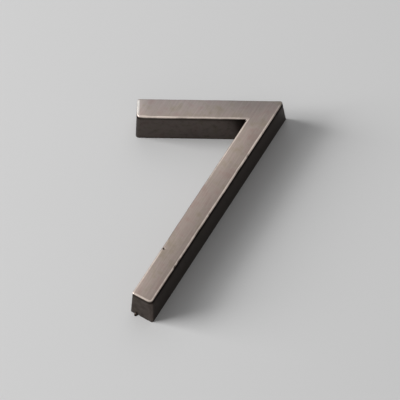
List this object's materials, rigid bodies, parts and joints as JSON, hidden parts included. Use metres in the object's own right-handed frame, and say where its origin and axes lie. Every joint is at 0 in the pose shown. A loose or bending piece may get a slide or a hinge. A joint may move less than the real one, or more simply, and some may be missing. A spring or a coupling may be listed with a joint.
{
  "type": "house number",
  "caption": "Slim house number seven, a one-piece casting with drafted walls, a cored-out back and tapped fixing holes.",
  "frame": {"origin": "under the middle of the numeral's box, on the plane of its back rim", "axes": "+X is the reading direction, +Y points to the numeral's top, +Z points out of its face"},
  "size_m": [0.0328, 0.0498, 0.0082],
  "materials": {
    "antique_bronze": "antique bronze on zinc die casting, brushed face, dark walls, edges rubbed bright"
  },
  "bodies": {
    "root": {"numeral_seven": "antique_bronze"}
  },
  "joints": []
}
